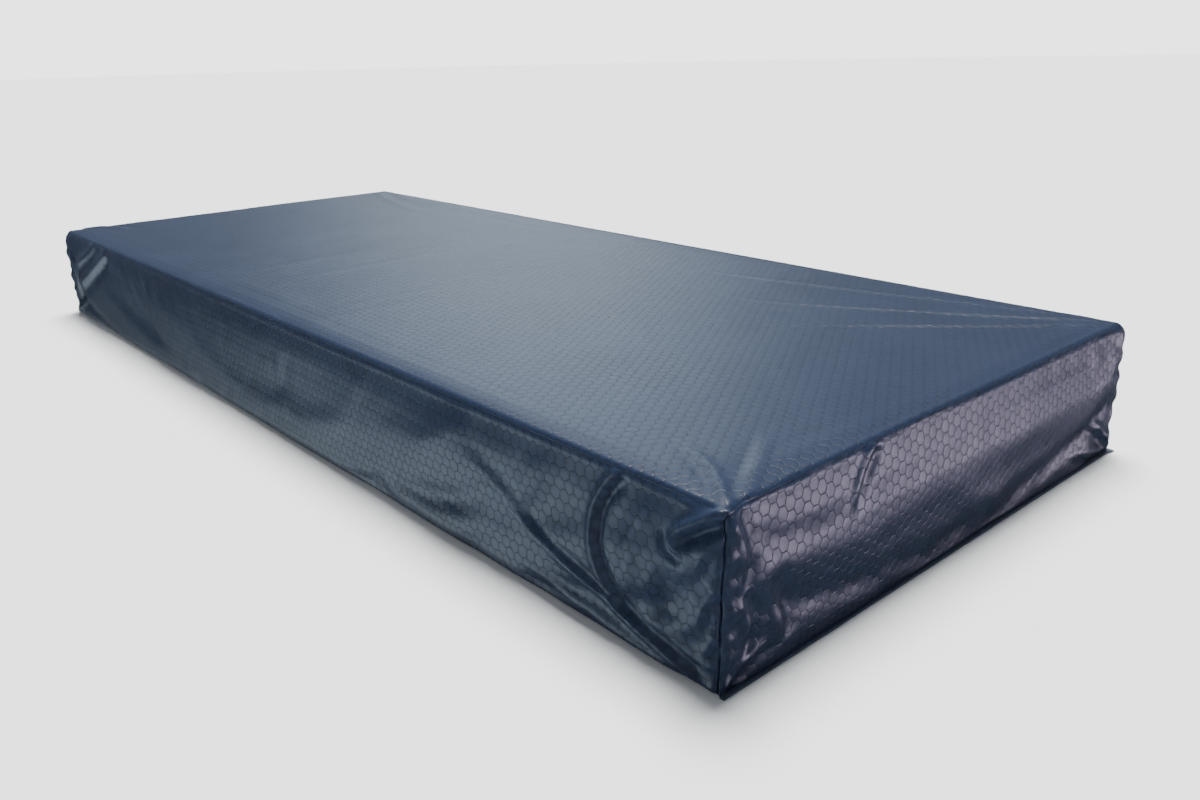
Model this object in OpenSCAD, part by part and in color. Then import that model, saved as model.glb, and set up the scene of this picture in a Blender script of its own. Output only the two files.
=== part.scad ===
// Pressure relief mattress: a zoned foam core in a fire barrier sock, inside a coated-fabric
// cover with inverted corner seams and a zip along the rear long side.
// Frame: origin at the centre of the underside, +X to the foot end, +Y to the zip side, +Z up.
// Millimetres.

/* [Mattress] */
// Length over the foot and head seam fins
mattress_l = 2032; // [1850:1:2150]
// Width over the side walls
mattress_w = 889; // [760:1:1070]
// Height from the underside to the top panel
mattress_h = 203; // [180:1:230]

/* [Cover] */
// Thickness of the coated cover fabric
cover_t = 1; // [0.8:0.1:1.4]
// Radius of the cover's upright corners
cover_r = 16; // [15:1:20]
// Radius of the cover's top edges
cover_edge = 12; // [8:1:14]
// How far the seam fin stands out at the foot of each end wall
fin_d = 4; // [3:0.5:6]
// Thickness of the seam fins and seam allowances
fin_t = 1.6; // [1.2:0.1:2]

/* [Foam core] */
// Thickness of the zoned top layer
top_layer_h = 73; // [60:1:80]
// Thickness of the middle transition layer
mid_layer_h = 58; // [45:1:60]
// Width of the firmer perimeter rails
rail_w = 80; // [60:1:100]
// Length of the head zone of the top layer
head_zone_l = 560; // [450:10:650]
// Length of the heel zone of the top layer
heel_zone_l = 600; // [450:10:700]
// Width of the cuts between the top layer's blocks
cut_w = 4; // [3:0.5:6]
// Depth of those cuts
cut_d = 38; // [25:1:45]

/* [Zip] */
// Length of the zip chain
zip_l = 1900; // [1500:10:1940]
// Height of the chain's centre line above the underside
zip_z = 26; // [25:1:28]
// Distance from one tooth to the next
tooth_pitch = 5; // [4:0.5:6]
// Length of the pull tab
pull_l = 30; // [22:1:36]

/* [Hidden] */
$fn = 32;

half_l = mattress_l / 2 - fin_d;  // outer face of the end walls
half_w = mattress_w / 2;
core_r = 30;                      // the core's upright edges, rounder than the cover's
core_edge = 14;
sock_t = 1;
sock_gap = 2;                     // between the cover and the sock, and the sock and the foam
sock_in = cover_t + sock_gap;     // inset of the sock's outer face
foam_in = sock_in + sock_t + sock_gap;
foam_bottom = foam_in;
foam_top = mattress_h - foam_in;
top_z = foam_top - top_layer_h;   // underside of the top layer
mid_z = top_z - mid_layer_h;      // underside of the middle layer
core_l = half_l - foam_in;        // half lengths of the foam core
core_w = half_w - foam_in;
head_x = -core_l + head_zone_l;   // zone boundaries
heel_x = core_l - heel_zone_l;

// Zip, measured from its own plane at y = zip_y
zip_y = half_w - 8.5;
recess_d = 15;                    // the zip's recess in the core, from the wall's outer face
recess_h = 50;
recess_l = zip_l + 50;
opening_l = zip_l + 36;              // the slot in the wall that the zip is reached through
opening_h = zip_z + 13;
allow_gap = 0.1;
hem_z = 0.5;                      // the walls stop just clear of the floor
tape_t = 1;
tape_h = 17;
slit = 1.4;                       // between the two rows of teeth
bead_h = 1.8;
tooth_h = 2;
tooth_w = 2.6;
teeth_t = 3.2;
plate_gap = 2.1;                  // half the gap between the slider's plates
plate_t = 1.5;
slider_l = 15;
slider_h = 13;
slider_x = zip_l / 2 - 16;        // where the slider is parked with the zip closed
pivot_y = zip_y + plate_gap + plate_t + 1.4;
bar_r = 0.8;

// A block with rounded uprights and a rounded top edge, inset from the cover's outer faces
module shell_form(inset, r, edge, bottom) {
    steps = 4;
    rim = 0.3;
    top = mattress_h - inset;
    hull() for (sx = [-1, 1], sy = [-1, 1])
        translate([sx * (half_l - inset - r), sy * (half_w - inset - r), 0]) {
            translate([0, 0, bottom]) cylinder(r = r, h = top - edge - bottom);
            for (i = [1 : steps])
                translate([0, 0, top - edge * (1 - sin(90 * i / steps)) - rim])
                    cylinder(r = r - edge * (1 - cos(90 * i / steps)), h = rim);
        }
}

// The core's outline with the zip's recess along the lower edge of the zip side
module core_form(inset) {
    difference() {
        shell_form(inset, core_r, core_edge, inset);
        translate([-recess_l / 2 - inset, half_w - recess_d - inset, -1])
            cube([recess_l + 2 * inset, recess_d * 3, recess_h + inset + 1]);
    }
}

// Cuts across a zone of the top layer, so that its blocks give one by one
module block_cuts(x0, x1, pitch) {
    nx = round((x1 - x0) / pitch);
    ny = round(2 * core_w / pitch);
    for (i = [1 : nx - 1])
        translate([x0 + i * (x1 - x0) / nx - cut_w / 2, -core_w - 1, foam_top - cut_d])
            cube([cut_w, 2 * core_w + 2, cut_d + 1]);
    for (j = [1 : ny - 1])
        translate([x0 - 1, -core_w + j * 2 * core_w / ny - cut_w / 2, foam_top - cut_d])
            cube([x1 - x0 + 2, cut_w, cut_d + 1]);
}

module top_zone(x0, x1, pitch, tint) {
    color(tint) difference() {
        intersection() {
            core_form(foam_in);
            translate([x0, -half_w, top_z]) cube([x1 - x0, mattress_w, mattress_h]);
        }
        block_cuts(x0, x1, pitch);
    }
}

module core_slice(x0, x1, y0, y1, z0, z1) {
    intersection() {
        core_form(foam_in);
        translate([x0, y0, z0]) cube([x1 - x0, y1 - y0, z1 - z0]);
    }
}

// The top panel and its four walls in one piece, with a hem over the zip
module cover_top() {
    color([0.30, 0.36, 0.45]) {
        difference() {
            shell_form(0, cover_r, cover_edge, hem_z);
            shell_form(cover_t, cover_r - cover_t, cover_edge - cover_t, -cover_t);
            translate([-opening_l / 2, half_w - cover_r, -1])
                cube([opening_l, cover_r * 2, opening_h + 1]);
        }
        translate([-opening_l / 2, zip_y + tape_t / 2, opening_h])
            cube([opening_l, half_w - cover_t / 2 - zip_y - tape_t / 2, cover_t]);
    }
}

// The base panel, with an upstand that carries the lower zip tape
module cover_base() {
    panel_l = half_l - cover_t - 0.5;
    panel_w = half_w - cover_t - 0.5;
    r = cover_r - cover_t - 0.5;
    notch_y = zip_y - tape_t / 2;
    color([0.16, 0.19, 0.25]) {
        difference() {
            union() {
                translate([-panel_l, -panel_w + r, 0]) cube([2 * panel_l, 2 * (panel_w - r), cover_t]);
                translate([-panel_l + r, -panel_w, 0]) cube([2 * (panel_l - r), 2 * panel_w, cover_t]);
                for (sx = [-1, 1], sy = [-1, 1])
                    translate([sx * (panel_l - r), sy * (panel_w - r), 0]) cylinder(r = r, h = cover_t);
            }
            translate([-zip_l / 2 - 8, notch_y, -1]) cube([zip_l + 16, cover_r, cover_t + 2]);
        }
        translate([-zip_l / 2 - 8, notch_y - cover_t, 0]) cube([zip_l + 16, cover_t, 15]);
    }
}

// The turned-in allowance of an upright corner seam, taped flat on itself
module corner_seam(sx, sy) {
    reach = 7.5;
    corner = cover_r * (1 - 1 / sqrt(2)) + cover_t;
    color([0.22, 0.27, 0.35])
        translate([sx * (half_l - corner), sy * (half_w - corner), 8])
            rotate(atan2(-sy, -sx))
                translate([0.3, -fin_t / 2, 0]) cube([reach, fin_t, mattress_h - 30]);
}

// The fin of the seam between an end wall and the base
module base_seam_end(sx) {
    color([0.26, 0.31, 0.40])
        translate([sx > 0 ? half_l : -half_l - fin_d, -half_w, 0.3])
            cube([fin_d, mattress_w, fin_t]);
}

// The tape that seals the seam along the plain side, inside the wall
module base_seam_side() {
    color([0.22, 0.27, 0.35])
        translate([-half_l + core_r, -half_w + cover_t, cover_t + allow_gap])
            cube([2 * (half_l - core_r), fin_t, 18]);
}

module care_label() {
    label_w = 90;
    label_h = 58;
    color([0.86, 0.87, 0.86])
        translate([-half_l - 0.5, -label_w / 2, 8]) cube([0.5, label_w, label_h]);
}

module zip_tape(side) {
    edge = slit / 2 + tooth_h + bead_h;
    color([0.10, 0.12, 0.16])
        translate([-zip_l / 2, zip_y - tape_t / 2, side > 0 ? zip_z + edge : zip_z - edge - tape_h])
            cube([zip_l, tape_t, tape_h]);
}

// A row of teeth on its bead, facing the other row across the slit
module zip_teeth(side) {
    n = floor(zip_l / tooth_pitch) - 2;
    shift = side > 0 ? tooth_pitch / 2 : 0;
    base = slit / 2 + tooth_h + bead_h;
    comb = concat(
        [[-n / 2 * tooth_pitch - 3, base], [-n / 2 * tooth_pitch - 3, slit / 2 + tooth_h]],
        [for (i = [0 : n - 1], p = [0 : 3])
            let (x = (i - n / 2) * tooth_pitch + shift)
            [x + (p < 2 ? 0 : tooth_w), p == 0 || p == 3 ? slit / 2 + tooth_h : slit / 2]],
        [[n / 2 * tooth_pitch + 3, slit / 2 + tooth_h], [n / 2 * tooth_pitch + 3, base]]);
    color([0.20, 0.22, 0.26])
        translate([0, zip_y + teeth_t / 2, zip_z]) rotate([90, 0, 0])
            linear_extrude(teeth_t) polygon([for (p = comb) [p[0], side * p[1]]]);
}

// Stops crimped across the chain at both ends
module zip_end_stops() {
    stop_l = 3;
    stop_h = 10;
    post_h = slit - 0.4;
    color([0.70, 0.71, 0.73]) for (sx = [-1, 1])
        translate([sx * (zip_l / 2 - 4) - stop_l / 2, zip_y, zip_z]) {
            translate([0, teeth_t / 2, -stop_h / 2]) cube([stop_l, 1, stop_h]);
            translate([0, -teeth_t / 2 - 1, -stop_h / 2]) cube([stop_l, 1, stop_h]);
            translate([0, -teeth_t / 2 - 0.5, -post_h / 2]) cube([stop_l, teeth_t + 1, post_h]);
        }
}

// The fabric guard behind the chain, sewn to the upper tape, which keeps the slider off the foam
module zip_guard() {
    guard_y = half_w - recess_d + 0.2;
    guard_t = 0.8;
    color([0.22, 0.27, 0.35]) {
        translate([-zip_l / 2, guard_y, 4]) cube([zip_l, guard_t, recess_h - 7]);
        translate([-zip_l / 2, guard_y, recess_h - 4])
            cube([zip_l, zip_y - tape_t / 2 - guard_y, guard_t]);
    }
}

module slider_plate() {
    rotate([-90, 0, 0]) linear_extrude(plate_t)
        union() {
            translate([-slider_l / 2 + 4, -slider_h / 2]) square([slider_l - 4, slider_h]);
            translate([-slider_l / 2 + 4, 0]) scale([0.62, 1]) circle(r = slider_h / 2 - 0.5);
        }
}

module zip_slider() {
    lip_y = tape_t / 2 + 0.4;
    arch_r = 3.2;
    color([0.62, 0.63, 0.66]) translate([slider_x, zip_y, zip_z]) {
        translate([0, plate_gap, 0]) slider_plate();
        translate([0, -plate_gap - plate_t, 0]) slider_plate();
        for (lip_z = [-slider_h / 2, slider_h / 2 - 1], y = [lip_y, -plate_gap - 0.5])
            translate([-slider_l / 2 + 5, y, lip_z])
                cube([slider_l - 5, plate_gap - lip_y + 0.5, 1]);
        translate([2, -plate_gap - 0.5, -0.4]) cube([5, 2 * plate_gap + 1, 0.8]);
        translate([0, plate_gap + plate_t, 0]) intersection() {
            difference() {
                cylinder(r = arch_r + 1, h = 2, center = true);
                cylinder(r = arch_r - 0.6, h = 3, center = true);
            }
            translate([-10, -0.4, -5]) cube([20, 10, 10]);
        }
    }
}

// The pull: a bar under the slider's arch, two arms and a tab
module zip_pull() {
    arm_t = 1.2;
    arm_z = 1.6;
    eye_l = 9;
    color([0.66, 0.67, 0.70]) translate([slider_x, pivot_y, zip_z]) {
        cylinder(r = bar_r, h = 2 * (arm_z + 1.6), center = true);
        for (sz = [-1, 1])
            translate([-eye_l, -arm_t / 2, sz > 0 ? arm_z : -arm_z - 1.6]) cube([eye_l, arm_t, 1.6]);
        difference() {
            union() {
                translate([-pull_l + 4, -arm_t / 2, -4]) cube([pull_l - eye_l - 4 + 1.5, arm_t, 8]);
                translate([-pull_l + 4, arm_t / 2, 0]) rotate([90, 0, 0]) cylinder(r = 4, h = arm_t);
            }
            translate([-pull_l + 4, 5, 0]) rotate([90, 0, 0]) cylinder(r = 1.6, h = 10);
        }
    }
}

module fire_barrier_sock() {
    color([0.88, 0.86, 0.80]) difference() {
        core_form(sock_in);
        core_form(sock_in + sock_t);
    }
}

inner_x = core_l - rail_w;
inner_y = core_w - rail_w;
cream = [0.93, 0.90, 0.78];
blue_foam = [0.62, 0.74, 0.84];
green_foam = [0.72, 0.82, 0.70];
grey_foam = [0.62, 0.63, 0.66];

cover_top();
cover_base();
corner_seam(1, 1);  // corner_seam_foot_left
corner_seam(1, -1);  // corner_seam_foot_right
corner_seam(-1, 1);  // corner_seam_head_left
corner_seam(-1, -1);  // corner_seam_head_right
base_seam_end(1);  // base_seam_foot
base_seam_end(-1);  // base_seam_head
base_seam_side();
care_label();
zip_tape(1);  // zip_tape_upper
zip_tape(-1);  // zip_tape_lower
zip_teeth(1);  // zip_teeth_upper
zip_teeth(-1);  // zip_teeth_lower
zip_end_stops();
zip_guard();
zip_slider();
zip_pull();
fire_barrier_sock();
top_zone(-core_l - 1, head_x, 93, blue_foam);  // top_foam_head
top_zone(head_x, heel_x, 70, cream);  // top_foam_torso
top_zone(heel_x, core_l + 1, 50, blue_foam);  // top_foam_heel
color(green_foam) core_slice(-inner_x, inner_x, -inner_y, inner_y, mid_z, top_z);  // mid_foam
color(cream) core_slice(-inner_x, inner_x, -inner_y, inner_y, 0, mid_z);  // base_foam
color(grey_foam) core_slice(-inner_x, inner_x, inner_y, half_w, 0, top_z);  // rail_zip_side
color(grey_foam) core_slice(-inner_x, inner_x, -half_w, -inner_y, 0, top_z);  // rail_seam_side
color(grey_foam) core_slice(-half_l, -inner_x, -half_w, half_w, 0, top_z);  // rail_head
color(grey_foam) core_slice(inner_x, half_l, -half_w, half_w, 0, top_z);  // rail_foot
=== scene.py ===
# %% [markdown]
# # A pressure relief mattress
#
# A foam core lies inside a one-piece coated cover. The cover's top panel wraps over the edges
# and becomes the four walls, which meet in upright seams with their allowances turned inside.
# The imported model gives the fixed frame: where each piece is and what it moves with.

# %% Load the fixed frame
import math
import bpy
import numpy as np
from mathutils import Matrix, Vector, noise


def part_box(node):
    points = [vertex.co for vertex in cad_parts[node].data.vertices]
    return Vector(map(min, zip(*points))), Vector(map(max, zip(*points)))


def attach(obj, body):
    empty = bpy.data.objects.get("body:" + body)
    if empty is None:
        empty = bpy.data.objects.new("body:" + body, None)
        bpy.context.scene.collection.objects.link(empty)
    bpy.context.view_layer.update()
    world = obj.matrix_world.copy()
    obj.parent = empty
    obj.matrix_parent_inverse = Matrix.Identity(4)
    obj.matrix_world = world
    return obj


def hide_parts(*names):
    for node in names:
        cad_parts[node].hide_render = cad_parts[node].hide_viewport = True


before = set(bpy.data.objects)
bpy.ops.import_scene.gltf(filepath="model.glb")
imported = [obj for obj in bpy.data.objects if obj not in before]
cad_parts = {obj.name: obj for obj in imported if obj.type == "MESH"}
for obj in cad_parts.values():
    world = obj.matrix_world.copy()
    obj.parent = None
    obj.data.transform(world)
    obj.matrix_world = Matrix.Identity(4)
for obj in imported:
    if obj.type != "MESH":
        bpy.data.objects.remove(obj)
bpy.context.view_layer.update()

# %% [markdown]
# The numbers that everything is placed by come from the imported nodes themselves. The cover's
# top gives the length, the width and the height.

# %% Read the main sizes
cover_low, cover_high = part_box("cover_top")
half_length = cover_high[0]
half_width = cover_high[1]
height = cover_high[2]
print("half length", half_length, "half width", half_width, "height", height)

# %% [markdown]
# The camera is by the near foot corner, 0.6 m up, with a slightly wide lens. It looks down a
# little and is tilted a degree, so the near corner sits low and right of the middle.

# %% Set the camera
view_from = Vector((1.5401, -1.0885, 0.6048))
view_along = Vector((-0.7397, 0.6182, -0.2661)).normalized()
tilt = -0.0227
side = view_along.cross(Vector((0, 0, 1))).normalized()
up = side.cross(view_along)
right = math.cos(tilt) * side + math.sin(tilt) * up
upright = math.cos(tilt) * up - math.sin(tilt) * side
camera_data = bpy.data.cameras.new("camera")
camera_data.lens, camera_data.sensor_width = 30.09, 36.0
camera_data.shift_x, camera_data.shift_y = 0.04525, -0.0667
camera = bpy.data.objects.new("camera", camera_data)
bpy.context.scene.collection.objects.link(camera)
turn = Matrix((right, upright, -view_along)).transposed().to_4x4()
camera.matrix_world = Matrix.Translation(view_from) @ turn
bpy.context.scene.camera = camera
print("camera at", tuple(view_from))

# %% [markdown]
# ## The cover as a sheet
#
# The cover is built on grids of lines: one for the top panel and one for each wall. Lines crowd
# together near the edges, where the surface turns, and spread out in the flat. A grid made this
# way keeps its detail where a crease or a seam needs it.

# %% Space the grid lines
def grid_lines(low, high, steps, first=0.0009, growth=0.24):
    """Positions from low to high, close together at both ends. Each half has its own step."""
    reach = (high - low) / 2
    halves = []
    for step in steps:
        marks = [0.0]
        while marks[-1] < reach:
            marks.append(marks[-1] + min(step + 0.004 * max(0, marks[-1] - 0.42), first + growth * marks[-1]))
        halves.append(np.array(marks) * reach / marks[-1])
    return np.concatenate([low + halves[0][:-1], high - halves[1][::-1]])


along = grid_lines(-half_length, half_length, (0.0056, 0.0036))
across = grid_lines(-half_width, half_width, (0.0040, 0.0050))
down = grid_lines(0.0006, height, (0.0036, 0.0036))[::-1]
print(len(along), "lines along,", len(across), "across,", len(down), "down a wall")

# %% [markdown]
# Every point starts on a sharp box. Rounding moves it onto a box whose edges have a radius: the
# nearest point of a smaller box inside is found, and the new point lies one radius out from it.
# The direction out is also the surface normal, which the creases use later.

# %% Round a sharp box
edge_radius = 0.0125


def round_off(points, inset=0.0, radius=edge_radius):
    """Points of a sharp box moved onto its rounded form, with their outward directions."""
    far = np.array([half_length - inset, half_width - inset, height - inset])
    low = np.array([-far[0] + radius, -far[1] + radius, -1.0])
    inner = np.clip(points, low, far - radius)
    out = points - inner
    out /= np.maximum(np.linalg.norm(out, axis=1, keepdims=True), 1e-9)
    return inner + radius * out, out


def cloth_place(value, drop, far, radius=edge_radius):
    """Distance along the flat cloth from its middle: over the panel, round the edge, down the wall."""
    size = np.abs(value)
    turned = np.arctan2(np.maximum(size - (far - radius), 0), radius)
    fallen = np.arctan2(np.maximum(radius - drop, 0), radius)
    on_top = np.where(size < far - radius, size, far - radius + radius * turned)
    on_wall = far - radius + radius * (math.pi / 2 - fallen) + np.maximum(drop - radius, 0)
    return np.sign(value) * np.where(drop > 0, on_wall, on_top)


# %% [markdown]
# The five grids are joined into one list of points. The first row of a wall is the top panel's
# own edge row, so the cloth is continuous there, as it is on the real cover. The walls' upright
# edges stay apart, because those are seams.

# %% Lay out the five panels
def grid_faces(ids):
    """The four-sided faces of a grid of point numbers."""
    return np.stack([ids[:-1, :-1], ids[1:, :-1], ids[1:, 1:], ids[:-1, 1:]], -1).reshape(-1, 4)


def lay_out(along, across, down):
    """Sharp-box points, flat-cloth places and faces of the top panel and its four walls."""
    nx, ny = len(along), len(across)
    gx, gy = np.meshgrid(along, across, indexing="ij")
    points = [np.stack([gx, gy, np.full_like(gx, height)], -1).reshape(-1, 3)]
    panel = [np.zeros(nx * ny, int)]
    top = np.arange(nx * ny).reshape(nx, ny)
    grids = [top]
    start = nx * ny
    edges = [top[:, 0], top[::-1, -1], top[-1, :], top[0, ::-1]]
    for number, edge in enumerate(edges, 1):
        rows = down[1:]
        line = points[0][edge]
        block = np.repeat(line[:, None, :], len(rows), axis=1)
        block[:, :, 2] = rows[None, :]
        count = len(edge) * len(rows)
        ids = start + np.arange(count).reshape(len(edge), len(rows))
        grids.append(np.concatenate([edge[:, None], ids], axis=1)[:, ::-1])
        points.append(block.reshape(-1, 3))
        panel.append(np.full(count, number))
        start += count
    faces = np.concatenate([grid_faces(grid) for grid in grids])
    return np.concatenate(points), np.concatenate(panel), faces, grids


def cloth_places(points, panel):
    """Where each point lies on the flat, unfolded cloth."""
    drop_x = np.where(panel >= 3, height - points[:, 2], 0)
    drop_y = np.where((panel == 1) | (panel == 2), height - points[:, 2], 0)
    flat_x = cloth_place(points[:, 0], drop_x, half_length)
    flat_y = cloth_place(points[:, 1], drop_y, half_width)
    return np.stack([flat_x, flat_y], -1)


sharp, panel, faces, grids = lay_out(along, across, down)
flat = cloth_places(sharp, panel)
base_points, outward = round_off(sharp)
print("cover grid:", len(sharp), "points,", len(faces), "faces")

# %% [markdown]
# ## Let the cloth settle
#
# The real cover is cut a little larger than the core, so it buckles into shallow waves. A coarse
# copy of the cover is simulated for this: its rest size is set about one percent larger than
# its shape, its lower edge is held, and gravity lays it over the core. A coarse cloth settles
# in seconds, and its movement is then carried over to the fine grid.

# %% Build the coarse cloth and its core
def plain_object(name, points, faces):
    """A mesh object from plain arrays."""
    data = bpy.data.meshes.new(name)
    data.from_pydata(np.asarray(points).tolist(), [], [list(f) for f in faces])
    made = bpy.data.objects.new(name, data)
    bpy.context.scene.collection.objects.link(made)
    return made


def spaced(low, high, step):
    return np.linspace(low, high, int(round((high - low) / step)) + 1)


rough_along = spaced(-half_length, half_length, 0.0165)
rough_across = spaced(-half_width, half_width, 0.0165)
rough_down = spaced(0.0006, height, 0.0145)[::-1]
rough_sharp, _, rough_faces, rough_grids = lay_out(rough_along, rough_across, rough_down)
rough_points, rough_out = round_off(rough_sharp)
print("coarse cloth:", len(rough_points), "points")

# %% [markdown]
# The upright seams are joined for the simulation by giving points in the same place one number.

# %% Simulate the coarse cloth
def settle(points, faces, core, frames=26):
    """The points after the cloth has settled over the core."""
    places, first, same = np.unique(np.round(points, 5), axis=0, return_index=True, return_inverse=True)
    same = same.reshape(-1)
    cloth = plain_object("settling_cloth", points[first], same[faces])
    held = cloth.vertex_groups.new(name="held")
    held.add([int(i) for i in np.nonzero(places[:, 2] < 0.004)[0]], 1.0, "REPLACE")
    under = plain_object("settling_core", *core)
    under.modifiers.new("collision", "COLLISION")
    under.collision.thickness_outer = 0.0015
    under.collision.cloth_friction = 12
    cover_cloth = cloth.modifiers.new("cloth", "CLOTH")
    how = cover_cloth.settings
    how.quality, how.mass, how.air_damping = 6, 0.25, 2.0
    how.tension_stiffness = how.compression_stiffness = 18
    how.shear_stiffness, how.bending_stiffness = 8, 1.6
    how.shrink_min = -0.012
    how.vertex_group_mass = "held"
    cover_cloth.collision_settings.distance_min = 0.0015
    cover_cloth.collision_settings.use_self_collision = False
    cover_cloth.point_cache.frame_start, cover_cloth.point_cache.frame_end = 1, frames
    for number in range(1, frames + 1):
        bpy.context.scene.frame_set(number)
    ready = cloth.evaluated_get(bpy.context.evaluated_depsgraph_get())
    moved = np.array([v.co for v in ready.data.vertices])
    bpy.context.scene.frame_set(1)
    for made in (cloth, under):
        bpy.data.objects.remove(made)
    return moved[same]


rough_shift = np.zeros_like(rough_points)
core_sharp, _, core_faces, _ = lay_out(rough_along * 0.994, rough_across * 0.986, rough_down[1:])
core_points, _ = round_off(core_sharp, inset=0.0062, radius=0.014)
core_points[:, 2] = np.minimum(core_points[:, 2], height - 0.0062)
settled = settle(rough_points, rough_faces, (core_points, core_faces))
rough_shift = np.clip(settled - rough_points, -0.008, 0.008)
along_out = (rough_shift * rough_out).sum(1)
print("the cloth moved from", round(along_out.min() * 1000, 2), "to", round(along_out.max() * 1000, 2), "mm")

# %% [markdown]
# The coarse movement is spread over the fine grid with smooth weights, so that no coarse edge
# shows. Each weight is a cubic spline's share, worked out once for each direction of a grid.

# %% Carry the movement to the fine grid
def spline_shares(fine, coarse):
    """How much each coarse line counts at each fine line."""
    if fine[0] > fine[-1]:
        fine, coarse = -fine, -coarse
    step = coarse[1] - coarse[0]
    shares = np.zeros((len(fine), len(coarse)))
    where = np.clip((fine - coarse[0]) / step, 0, len(coarse) - 1)
    left = np.minimum(where.astype(int), len(coarse) - 2)
    t = where - left
    cubic = [(1 - t) ** 3 / 6, (3 * t**3 - 6 * t**2 + 4) / 6,
             (-3 * t**3 + 3 * t**2 + 3 * t + 1) / 6, t**3 / 6]
    for k, share in enumerate(cubic):
        np.add.at(shares, (np.arange(len(fine)), np.clip(left + k - 1, 0, len(coarse) - 1)), share)
    return shares


def carry_over(shift):
    """The coarse movement at every fine point."""
    result = np.zeros_like(sharp)
    lines = [(along, rough_along, across, rough_across)]
    up, rough_up = down[::-1], rough_down[::-1]
    lines += [(along, rough_along, up, rough_up), (along[::-1], rough_along[::-1], up, rough_up)]
    lines += [(across, rough_across, up, rough_up), (across[::-1], rough_across[::-1], up, rough_up)]
    for grid, rough_grid, (a, rough_a, b, rough_b) in zip(grids[::-1], rough_grids[::-1], lines[::-1]):
        first, second = spline_shares(a, rough_a), spline_shares(b, rough_b)
        result[grid] = np.einsum("ai,ijk,bj->abk", first, shift[rough_grid], second)
    return result


from_edge = np.minimum(half_length - np.abs(sharp[:, 0]), half_width - np.abs(sharp[:, 1]))
wall_calm = np.array([1.0, 0.60, 0.70, 0.45, 0.70])[panel]
calm = np.where(panel == 0, 0.35 + 0.25 * np.exp(-from_edge / 0.05), wall_calm)
settled_shift = carry_over(rough_shift) * calm[:, None]
print("carried over to", len(settled_shift), "points")

# %% [markdown]
# ## Folds in the cloth
#
# A fold is a line on the unfolded cloth with a height across it. A ridge stands up on the line,
# and the cloth dips beside it where it was pulled. The line is a smooth curve through a few
# points, and the fold fades out at both ends.

# %% Draw one fold
def smooth_line(points, count=70):
    """A smooth curve through a few points, with its running position from 0 to 1."""
    p = np.array(points, float)
    p = np.vstack([2 * p[0] - p[1], p, 2 * p[-1] - p[-2]])
    line = []
    for k in range(1, len(p) - 2):
        t = np.linspace(0, 1, count // (len(p) - 3) + 2)[:, None]
        a, b, c, d = p[k - 1], p[k], p[k + 1], p[k + 2]
        line.append(0.5 * (2 * b + (c - a) * t + (2 * a - 5 * b + 4 * c - d) * t**2
                           + (3 * b - a - 3 * c + d) * t**3))
    return np.vstack(line)


def fold(flat, points, rise, width, dip=0.5, lean=1.0, start=0.15, end=0.35):
    """Height of a fold at each place on the cloth, in metres. lean sets the side that it dips on."""
    line = smooth_line(points)
    reach = 5 * width
    near = np.all((flat > line.min(0) - reach) & (flat < line.max(0) + reach), axis=1)
    spots = np.nonzero(near)[0]
    result = np.zeros(len(flat))
    if not len(spots):
        return result
    gap = flat[spots][:, None, :] - line[None, :, :]
    nearest = np.argmin((gap**2).sum(-1), axis=1)
    way = np.gradient(line, axis=0)
    way /= np.maximum(np.linalg.norm(way, axis=1, keepdims=True), 1e-9)
    away = flat[spots] - line[nearest]
    across = away[:, 0] * -way[nearest, 1] + away[:, 1] * way[nearest, 0]
    beyond = np.abs((away * way[nearest]).sum(1))
    run = nearest / (len(line) - 1)
    fade = np.clip(run / max(start, 1e-3), 0, 1) * np.clip((1 - run) / max(end, 1e-3), 0, 1)
    fade = fade * fade * (3 - 2 * fade) * np.exp(-((beyond / width) ** 2))
    ridge = np.exp(-((across / width) ** 2))
    hollow = np.exp(-(((across - lean * 1.7 * width) / (1.2 * width)) ** 2))
    result[spots] = rise * fade * (ridge - dip * hollow)
    return result


# %% [markdown]
# Places on the walls are easiest to give as a distance from a corner and a height, so two small
# helpers turn those into places on the unfolded cloth, in millimetres.

# %% Name places on the walls
turn_loss = edge_radius * (2 - math.pi / 2)


def on_side(from_foot, up):
    """A place on the long side nearest the camera: distance from the foot end, and height."""
    return (half_length - from_foot / 1000, -(half_width + height - up / 1000 - turn_loss))


def on_foot(from_side, up):
    """A place on the foot end: distance from the near side, and height."""
    return (half_length + height - up / 1000 - turn_loss, -half_width + from_side / 1000)


def on_top(from_foot, from_side):
    """A place on the top panel: distances from the foot end and from the near side."""
    return (half_length - from_foot / 1000, -half_width + from_side / 1000)


mm = 0.001
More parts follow.
